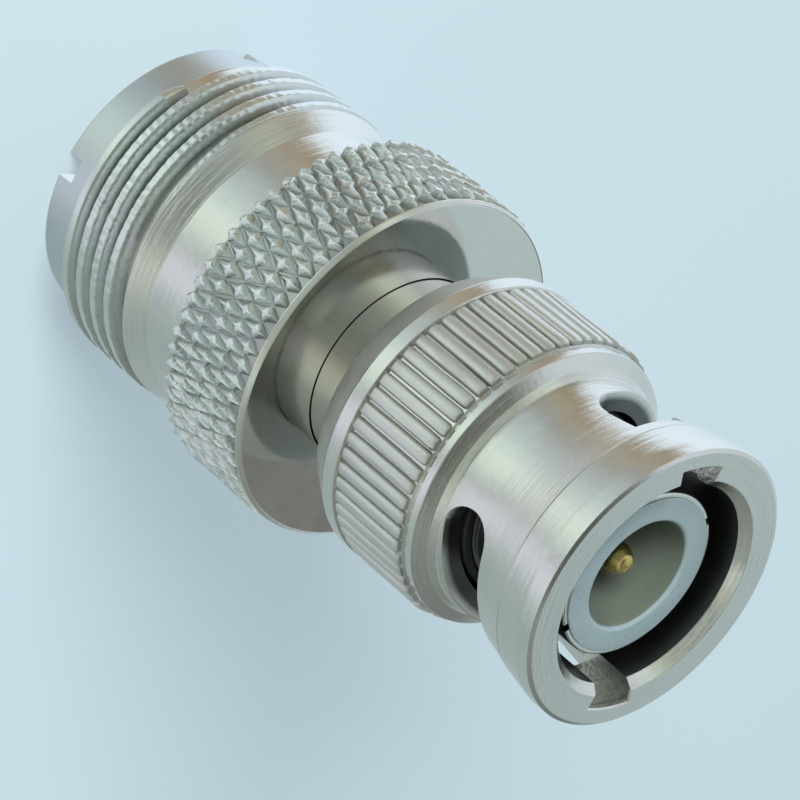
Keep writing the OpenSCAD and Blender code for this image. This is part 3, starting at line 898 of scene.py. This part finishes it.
# %% Set copies of a shape round the axis
def ring_of_copies(name, sizes):
    tree, sockets, given = new_tree(name, sizes)
    number = add_node(tree, "GeometryNodeInputIndex").outputs[0]
    points, angle = staggered_points(tree, given, number)
    tilt = combine(tree, times(tree, vary(tree, given, number, "tip"), TILT_SHARE),
                   times(tree, vary(tree, given, number, "lean"), TILT_SHARE), angle)
    deep = times_plus(tree, vary(tree, given, number, "depth"), DEPTH_SHARE, DEPTH_MEAN)
    scale = combine(tree, deep, plus(tree, vary(tree, given, number, "width"), 1.0),
                    plus(tree, vary(tree, given, number, "length"), 1.0))
    shape = add_node(tree, "GeometryNodeObjectInfo", {"Object": given["Shape"], "As Instance": True})
    copies = add_node(tree, "GeometryNodeInstanceOnPoints", {
        "Points": points, "Instance": shape.outputs["Geometry"], "Rotation": tilt, "Scale": scale})
    real = add_node(tree, "GeometryNodeRealizeInstances", {"Geometry": copies.outputs[0]})
    kept = held(tree, given, dented(tree, given, real.outputs[0]))
    out_of(tree, kept, given["Finish"])
    return grow(name, tree, sockets, sizes)


# %% Diamond knurl on the collar
# A level is its height and the share of the stud's size along its ridges and in the hollows between them.
STUD_LEVELS = [(-0.06, 1.02, 1.02), (0.055, 0.93, 0.80), (0.16, 0.77, 0.50), (0.23, 0.58, 0.30),
               (0.25, 0.38, 0.20)]
STUD_WIDE = 0.83
STUD_TALL = 2.06
STUD_TOP = 0.262

stud = linked(stud_mesh("stud", STUD_WIDE, STUD_TALL, STUD_LEVELS, STUD_TOP))
knurl = ring_of_copies("diamond_knurl", {
    "Round": 64,
    "Rows": 5,
    "Radius": COLLAR_ROOT * MM,
    "First Z": 11.76 * MM,
    "Step": 1.034 * MM,
    "Uneven": 0.075,
    "Dents": 0.15 * MM,
    "Low": 11.48 * MM,
    "High": 16.58 * MM,
    "Shape": stud,
    "Finish": nickel_knurl,
})
bpy.data.objects.remove(stud)
smooth_between(knurl, 35)
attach(knurl, "adapter")
print("diamond knurl:", len(knurl.data.polygons), "faces")

# %% [markdown]
# ## The body: neck, shoulder and slotted sleeve
# The body is pressed into the shell. Its neck shows behind the nut, and its front end is a thin sleeve with
# four slits, which springs against the jack. The slits are cut like the notches, by drawing points back to
# the floor of the slit.

# %% Section of the body
NECK_RADIUS = 4.7
BODY_BACK = 12.6
GROOVE_RADIUS = 3.8
GROOVE_BACK = 23.2
GROOVE_FRONT = 23.9
SHOULDER_Z = 26.2
GASKET_SEAT = 4.25
GASKET_FRONT = 27.5
SLEEVE_RADIUS = 4.05
SLEEVE_BORE = 3.46
SLEEVE_END = 33.2
CUP_BACK = 24.8
SHANK_ROOM = 3.4
SHANK_ROOM_END = 17.2
BODY_BORE = 2.2

body_section = [
    (SHANK_ROOM, BODY_BACK), (NECK_RADIUS, BODY_BACK, 0.1), (NECK_RADIUS, GROOVE_BACK),
    (GROOVE_RADIUS, GROOVE_BACK), (GROOVE_RADIUS, GROOVE_FRONT), (NECK_RADIUS, GROOVE_FRONT),
    (NECK_RADIUS, SHOULDER_Z, 0.06), (GASKET_SEAT, SHOULDER_Z), (GASKET_SEAT, GASKET_FRONT, 0.05),
    (SLEEVE_RADIUS, 27.56), (SLEEVE_RADIUS, SLEEVE_END, 0.12), (SLEEVE_BORE, SLEEVE_END, 0.06),
    (SLEEVE_BORE, CUP_BACK), (BODY_BORE, CUP_BACK), (BODY_BORE, SHANK_ROOM_END),
    (SHANK_ROOM, SHANK_ROOM_END),
]
print("body section has", len(body_section), "corners")

# %% Body with its slits
SLIT_TURN = quarter_turns(67)
SLIT_HALF = 0.2 / 3.75
SLIT_FLOOR = 28.6
SHADE_START = 19.6
SHADE_END = 32.9


def body_finish(middle):
    r, z = middle
    # Painted shade on the body's walls that lie under the nut.
    in_shade = r > SLEEVE_BORE + 0.24 and SHADE_START < z < SHADE_END
    return nickel_inside if in_shade else nickel_smooth


body = spin("body", body_section, column_angles(200, SLIT_TURN, SLIT_HALF), (nickel_smooth, nickel_inside),
            cut=cut_to(SLIT_FLOOR, SLIT_TURN, SLIT_HALF, keep=min), finish_of=body_finish)
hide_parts("bnc_body")
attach(body, "adapter")
print("body:", len(body.data.polygons), "faces")

# %% [markdown]
# ## Insulators, contacts and gasket
# The white cup and the bush hold the contacts on the axis. They are moulded or turned plastic that lets a
# little light in, so the cup is milky. The pin and the socket are gold-plated brass, and the gasket is soft
# black rubber.

# %% Sections of the small pieces
CUP_RADIUS = 3.45
CUP_FRONT = 33.3
CUP_BORE = 2.65
CUP_FLOOR = 27.8
PIN_RADIUS = 0.685
PIN_SHANK = 1.0
PIN_TIP = 32.6
SHANK_BORE = 1.01
BUSH_RADIUS = 5.4
BUSH_BORE = 2.81
SOCKET_RADIUS = 2.8
SOCKET_BORE = 2.0
SOCKET_FLOOR = 14.0
SOCKET_END = 14.6
SHANK_RADIUS = 1.8
SHANK_END = 16.2
GASKET_BORE = 4.26
GASKET_RADIUS = 4.75

cup_section = [(SHANK_BORE, CUP_BACK), (CUP_RADIUS, CUP_BACK, 0.05), (CUP_RADIUS, SLEEVE_END),
               (3.82, 33.21, 0.04), (3.80, CUP_FRONT, 0.06), (CUP_BORE, CUP_FRONT, 0.16),
               (CUP_BORE, CUP_FLOOR, 0.3), (SHANK_BORE, CUP_FLOOR)]
pin_section = [(0, SOCKET_END), (PIN_SHANK, SOCKET_END, 0.1), (PIN_SHANK, CUP_FLOOR, 0.06),
               (PIN_RADIUS, CUP_FLOOR), (PIN_RADIUS, 32.05, 0.4), (0.42, 32.52, 0.3), (0, PIN_TIP)]
bush_section = [(BUSH_BORE, MOUTH_FLOOR), (BUSH_RADIUS, MOUTH_FLOOR, 0.12),
                (BUSH_RADIUS, SEATS_MEET, 0.05), (BUSH_BORE, SEATS_MEET)]
socket_section = [(SOCKET_BORE, MOUTH_FLOOR, 0.15), (SOCKET_RADIUS, MOUTH_FLOOR, 0.12),
                  (SOCKET_RADIUS, SOCKET_END, 0.1), (SHANK_RADIUS, SOCKET_END),
                  (SHANK_RADIUS, SHANK_END, 0.1), (SHANK_BORE, SHANK_END), (SHANK_BORE, SOCKET_FLOOR),
                  (SOCKET_BORE, SOCKET_FLOOR)]
gasket_section = [(GASKET_BORE, SHOULDER_Z), (GASKET_RADIUS, SHOULDER_Z, 0.08),
                  (GASKET_RADIUS, GASKET_FRONT, 0.16), (GASKET_BORE, GASKET_FRONT, 0.12)]
print("cup is", round(CUP_FRONT - CUP_BACK, 2), "mm long")

# %% Cup, pin, bush, socket and gasket
SOCKET_TURN = quarter_turns(45)
SOCKET_HALF = 0.225 / 2.4
SOCKET_SLIT = 9.0


def cup_finish(middle):
    r, z = middle
    in_cup = r < CUP_BORE + 0.07 and CUP_FLOOR - 0.1 < z < CUP_FRONT - 0.15
    return shaded_insulator if in_cup else white_insulator


# Each row is a piece, its node, its slot, its section, its finishes, its columns and what else it needs.
small_pieces = [
    ("white_cup", "bnc_insulator", "insulator", cup_section, (white_insulator, shaded_insulator),
     column_angles(160), {"finish_of": cup_finish}),
    ("gold_pin", "bnc_pin", "gold_contact", pin_section, (gold_plate,),
     column_angles(64), {"closed": False}),
    ("bush", "uhf_insulator", "insulator", bush_section, (white_insulator,), column_angles(120), {}),
    ("gold_socket", "uhf_socket", "gold_contact", socket_section, (gold_plate,),
     column_angles(96, SOCKET_TURN, SOCKET_HALF),
     {"cut": cut_to(SOCKET_SLIT, SOCKET_TURN, SOCKET_HALF, keep=max)}),
    ("rubber_gasket", "gasket", "rubber", gasket_section, (black_rubber,), column_angles(120), {}),
]
for name, node, slot, section, finishes, angles, more in small_pieces:
    piece = spin(name, section, angles, finishes, **more)
    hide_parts(node)
    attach(piece, "adapter")
    print(name, "has", len(piece.data.polygons), "faces")

# %% [markdown]
# ## The springs behind the nut
# Two wavy rings stand crest against crest between the flat ring and the split ring, and push the nut back.
# They are pressed from spring strip. Each is a flat ring whose points follow a wave of three crests. They
# ride on the adapter.

# %% Wavy rings, and steel on the two plain rings
WAVE_INNER = 4.8
WAVE_OUTER = 5.55
WAVE_STRIP = 0.25
WAVE_HALF = 0.325
WAVE_CRESTS = 3

wave_section = [(WAVE_INNER, 0.0), (WAVE_OUTER, 0.0), (WAVE_OUTER, WAVE_STRIP), (WAVE_INNER, WAVE_STRIP)]


def wave(foot, phase):
    def lift_strip(angle, z):
        return foot + z + WAVE_HALF * (1 + math.cos(WAVE_CRESTS * angle + phase))

    return lift_strip


for name, node, foot, phase in (("wave_ring_rear", "wave_washer_rear", 21.4, 0.0),
                                ("wave_ring_front", "wave_washer_front", 22.3, math.pi)):
    ring = spin(name, wave_section, column_angles(144), (steel_strip,), cut=wave(foot, phase))
    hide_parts(node)
    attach(ring, "adapter")
    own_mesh(ring)
for node in ("thrust_washer", "retaining_ring"):
    dress(frame["nodes"][node].data, (steel_strip,))
print("springs made, plain rings dressed in", steel_strip.name)

# %% [markdown]
# ## The coupling nut
# The nut is turned with a bevel, a land for the knurl, a lip, a narrow waist and a flared flange. A cutter
# then mills two bayonet slots from inside. Where the waist is thinner than the cut, the slot breaks through
# and leaves a window. The scene does the same: it spins the nut, then takes away three solids for each slot,
# its run, its window and its entry. The sides of run and window open a little at the surface, which leaves a
# fine broken edge.

# %% Section of the nut
NUT_BACK = 19.3
NUT_FRONT = 34.38
BEVEL_FRONT = 20.85
NUT_EDGE = 7.15
LAND_RADIUS = 6.90
LAND_FRONT = 26.00
LIP_RADIUS = 6.85
WAIST_RADIUS = 5.95
FLARE_START = 28.6
FLARE_LENGTH = 3.4
FLARE_RISE = 0.66
FLARE_CURVE = 1.35
FLARE_STEP = 0.2
SCORE_Z = 32.00
FLANGE_RADIUS = 6.88
JACK_BORE = 4.95
SPRING_BORE = 5.8
SPRING_FRONT = 24.0
LIP_BORE = 4.73
LIP_FRONT = 20.9


def flare(z):
    t = min(max((z - FLARE_START) / FLARE_LENGTH, 0.0), 1.0)
    return WAIST_RADIUS + FLARE_RISE * t ** FLARE_CURVE


flare_heights = [FLARE_START + FLARE_STEP * k for k in range(round(FLARE_LENGTH / FLARE_STEP))]
nut_section = [
    (LIP_BORE, NUT_BACK, 0.03), (6.25, NUT_BACK, 0.10), (NUT_EDGE, BEVEL_FRONT, 0.30),
    (NUT_EDGE, 21.56, 0.05), (LAND_RADIUS, 21.68), (LAND_RADIUS, LAND_FRONT), (6.80, 26.03), (6.80, 26.14),
    (6.86, 26.18, 0.03), (LIP_RADIUS, 26.55, 0.07), (6.23, 26.90, 0.05), (WAIST_RADIUS, 27.18, 0.15),
    *((flare(z), z, 0.4) for z in flare_heights),
    (6.60, SCORE_Z - 0.04, 0.01), (6.57, SCORE_Z, 0.01), (6.62, SCORE_Z + 0.04, 0.01),
    (FLANGE_RADIUS, 33.55, 0.8), (FLANGE_RADIUS, 34.28, 0.03), (6.71, NUT_FRONT, 0.03),
    (5.37, NUT_FRONT, 0.04), (JACK_BORE, 33.96, 0.05), (JACK_BORE, SPRING_FRONT),
    (SPRING_BORE, SPRING_FRONT), (SPRING_BORE, LIP_FRONT), (LIP_BORE, LIP_FRONT),
]
nut_finishes = (nickel_turned, nickel_inside, nickel_grey, nickel_satin, nickel_face, nickel_slot)
nut = spin("coupling_nut_body", nut_section, column_angles(240), nut_finishes)
print("nut before slots:", len(nut.data.polygons), "faces")

# %% Sizes of the slots
# A slot is laid out flat, with u round the waist and z along the axis, then bent round the nut.
SLOT_TURNS = (math.radians(31.5), math.radians(211.5))
SLOT_HALF = 1.325
SLOT_START = (0.0, 29.65)
SLOT_STOP = (-math.radians(85.5) * WAIST_RADIUS, 28.60)
SLOT_FOOT = 4.4
WINDOW_END = 31.38
ENTRY_HALF = 1.2
ENTRY_TOP = 6.0
ENTRY_FLARE = 0.26
BROKEN_EDGE = 0.09
OVERSHOOT = 0.06
ROUND_STEPS = 8
RUN_STEPS = 48
WINDOW_STEPS = 6
TOP_STEPS = 8

run_length = math.hypot(SLOT_STOP[0] - SLOT_START[0], SLOT_STOP[1] - SLOT_START[1])
run_way = ((SLOT_STOP[0] - SLOT_START[0]) / run_length, (SLOT_STOP[1] - SLOT_START[1]) / run_length)
print("slot runs", round(run_length, 2), "mm round the waist")


# %% Helpers for slot-shaped solids
def slot_solid(name, sections, turn):
    places = []
    for section in sections:
        for u, z, r in section:
            angle = turn + u / WAIST_RADIUS
            places.append((r * math.cos(angle), r * math.sin(angle), z))
    rings, count = len(sections), len(sections[0])
    return linked(plain_mesh(name, places, side_faces(rings, count) + end_faces(rings, count)))


def across(centre, way, half):
    def at(w):
        return centre[0] - w * way[1], centre[1] + w * way[0]

    section = [(*at(-half), SLOT_FOOT), (*at(half), SLOT_FOOT), (*at(half), flare(at(half)[1]) - OVERSHOOT)]
    for k in range(TOP_STEPS + 1):
        u, z = at((half + BROKEN_EDGE) * (1 - 2 * k / TOP_STEPS))
        section.append((u, z, flare(z) + OVERSHOOT))
    section.append((*at(-half), flare(at(-half)[1]) - OVERSHOOT))
    return section


def run_station(k):
    if k <= ROUND_STEPS:
        bend = math.pi * k / (2 * ROUND_STEPS)
        return -SLOT_HALF * math.cos(bend), SLOT_HALF * math.sin(bend)
    if k >= ROUND_STEPS + RUN_STEPS:
        bend = math.pi * (k - ROUND_STEPS - RUN_STEPS) / (2 * ROUND_STEPS)
        return run_length + SLOT_HALF * math.sin(bend), SLOT_HALF * math.cos(bend)
    return run_length * (k - ROUND_STEPS) / RUN_STEPS, SLOT_HALF


# %% Run, window and entry of each slot
SMALLEST_HALF = 0.02


def run_sections():
    sections = []
    for k in range(2 * ROUND_STEPS + RUN_STEPS + 1):
        s, half = run_station(k)
        centre = (SLOT_START[0] + run_way[0] * s, SLOT_START[1] + run_way[1] * s)
        sections.append(across(centre, run_way, max(half, SMALLEST_HALF)))
    return sections


def window_sections():
    rise = WINDOW_END - SLOT_START[1]
    heights = [SLOT_START[1] + rise * k / WINDOW_STEPS for k in range(WINDOW_STEPS + 1)]
    return [across((0.0, z), (0, 1), SLOT_HALF) for z in heights]


def entry_sections():
    sections = []
    for z, wider in ((SLOT_START[1], 0.0), (33.0, 0.0), (34.30, 0.0), (34.60, ENTRY_FLARE)):
        half, top = ENTRY_HALF + wider, ENTRY_TOP + wider
        roof = [(half * (2 * m / TOP_STEPS - 1), z, top) for m in range(TOP_STEPS + 1)]
        sections.append([(-half, z, SLOT_FOOT), *roof, (half, z, SLOT_FOOT)])
    return sections


solids = []
for turn in SLOT_TURNS:
    solids.append(slot_solid("slot_run", run_sections(), turn))
    solids.append(slot_solid("slot_window", window_sections(), turn))
    solids.append(slot_solid("slot_entry", entry_sections(), turn))
print("slot solids:", len(solids))


# %% Cut the slots
def outward_faces(piece):
    shape = bmesh.new()
    shape.from_mesh(piece.data)
    if shape.calc_volume(signed=True) < 0:
        bmesh.ops.reverse_faces(shape, faces=shape.faces)
    shape.to_mesh(piece.data)
    shape.free()


for solid in solids:
    outward_faces(solid)
    cutter = nut.modifiers.new("slot", "BOOLEAN")
    cutter.operation = "DIFFERENCE"
    cutter.solver = "EXACT"
    cutter.object = solid
    cut_mesh = evaluated_mesh(nut)
    nut.modifiers.remove(cutter)
    nut.data = cut_mesh
    bpy.data.objects.remove(solid)
print("nut after slots:", len(nut.data.polygons), "faces")

# %% [markdown]
# ## True directions and finishes on the cut nut
# A Boolean forgets the directions that the lathe gave each corner. Every corner that still lies on the
# turned outline gets its own back, found from the nearest stretch of the outline, and the others take their
# face's. The same test tells the turned wall from the milled slots, whose finish has painted shade inside.

# %% Give the turned wall its directions back
ON_WALL = 0.02
SAME_WAY = 0.93


def gathered(items, name, width, kind=float):
    values = np.empty(len(items) * width, kind)
    items.foreach_get(name, values)
    return values.reshape(-1, width)


def true_directions(mesh, outline, normals):
    faces = np.repeat(np.arange(len(mesh.polygons)), [len(p.vertices) for p in mesh.polygons])
    flat = gathered(mesh.polygons, "normal", 3)[faces]
    corner = gathered(mesh.loops, "vertex_index", 1, int)[:, 0]
    spot = gathered(mesh.vertices, "co", 3)[corner] / MM
    angle = np.arctan2(spot[:, 1], spot[:, 0])
    section = np.stack((np.hypot(spot[:, 0], spot[:, 1]), spot[:, 2]), 1)
    ends, end_normals = np.roll(outline, -1, 0), np.roll(normals, -1, 0)
    result = flat.copy()
    best = np.full(len(corner), ON_WALL)
    for a, b, na, nb in zip(outline, ends, normals, end_normals):
        run = b - a
        t = np.clip(((section - a) @ run) / max((run ** 2).sum(), 1e-12), 0, 1)[:, None]
        gap = np.hypot(*(section - a - t * run).T)
        n = na * (1 - t) + nb * t
        n /= np.linalg.norm(n, axis=1)[:, None]
        spun = np.stack((n[:, 0] * np.cos(angle), n[:, 0] * np.sin(angle), n[:, 1]), 1)
        pick = (gap < best) & ((spun * flat).sum(1) > SAME_WAY)
        best[pick] = gap[pick]
        result[pick] = spun[pick]
    mesh.shade_smooth()
    mesh.normals_split_custom_set([tuple(v) for v in result])
    return best < ON_WALL


on_wall = true_directions(nut.data, *rounded_outline(nut_section))
print(int(on_wall.sum()), "of", len(nut.data.loops), "corners lie on the turned wall")

# %% Finishes of the nut
INWARD_LIMIT = -1e-4
REAR_FACE_END = 19.34
BEVEL_END = 20.80
SLOT_END = 31.45
BORE_END = 33.9
FRONT_FACE_START = 34.30


def nut_finish(face):
    height = face.center.z / MM
    towards = face.normal.x * face.center.x + face.normal.y * face.center.y
    inward = towards < INWARD_LIMIT * face.center.length
    turned = on_wall[face.loop_start]
    # Painted shade on the nut's rear face, which faces the collar.
    if height < REAR_FACE_END:
        return nickel_grey
    if not inward and height < BEVEL_END:
        return nickel_satin
    if height > FRONT_FACE_START:
        return nickel_face
    # Painted shade: the milled slot walls darken towards the inside of the waist.
    if not turned and height < SLOT_END:
        return nickel_slot
    # Painted shade on the nut's inward turned bore behind its front.
    return nickel_inside if turned and inward and height < BORE_END else nickel_turned


dress(nut.data, nut_finishes)
for face in nut.data.polygons:
    face.material_index = nut_finishes.index(nut_finish(face))
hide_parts("coupling_nut")
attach(nut, "nut")
print("nut has", len(nut.data.materials), "finishes")

# %% [markdown]
# ## The nut's straight knurl
# The nut is gripped by straight ridges, rolled along the axis. Each is one small bar, lower at both ends.
# The same Geometry Nodes that set the diamonds set the bars, in a single row and nearly even.


# %% One straight ridge
def bar_mesh(name, section, stations):
    places = []
    for z, scale in stations:
        places += [(x * scale if x > 0 else x, y * (0.5 + 0.5 * scale), z) for x, y in section]
    rings, count = len(stations), len(section)
    return plain_mesh(name, places, side_faces(rings, count, closed=False) + end_faces(rings, count))


# Half of the section runs from foot to crest. A station is a height along the bar and its scale there.
BAR_HALF_SECTION = [(-0.05, -0.34), (0.06, -0.31), (0.19, -0.265), (0.235, -0.21)]
BAR_CREST = (0.248, 0.0)
BAR_STATIONS = [(-0.02, 0.7), (0.14, 1.0), (1.0, 1.0), (2.1, 1.0), (3.2, 1.0), (4.12, 1.0), (4.30, 0.7)]

other_half = [(x, -y) for x, y in reversed(BAR_HALF_SECTION)]
bar = linked(bar_mesh("bar", [*BAR_HALF_SECTION, BAR_CREST, *other_half], BAR_STATIONS))
print("ridge has", len(bar.data.polygons), "faces")

# %% Straight knurl on the nut
ridges = ring_of_copies("straight_knurl", {
    "Round": 59,
    "Rows": 1,
    "Radius": LAND_RADIUS * MM,
    "First Z": 21.66 * MM,
    "Step": 0.6 * MM,
    "Uneven": 0.015,
    "Dents": 0.08 * MM,
    "Low": 21.60 * MM,
    "High": LAND_FRONT * MM,
    "Shape": bar,
    "Finish": nickel_ridge,
})
bpy.data.objects.remove(bar)
outward_faces(ridges)
smooth_between(ridges, 40)
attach(ridges, "nut")
print("straight knurl:", len(ridges.data.polygons), "faces")
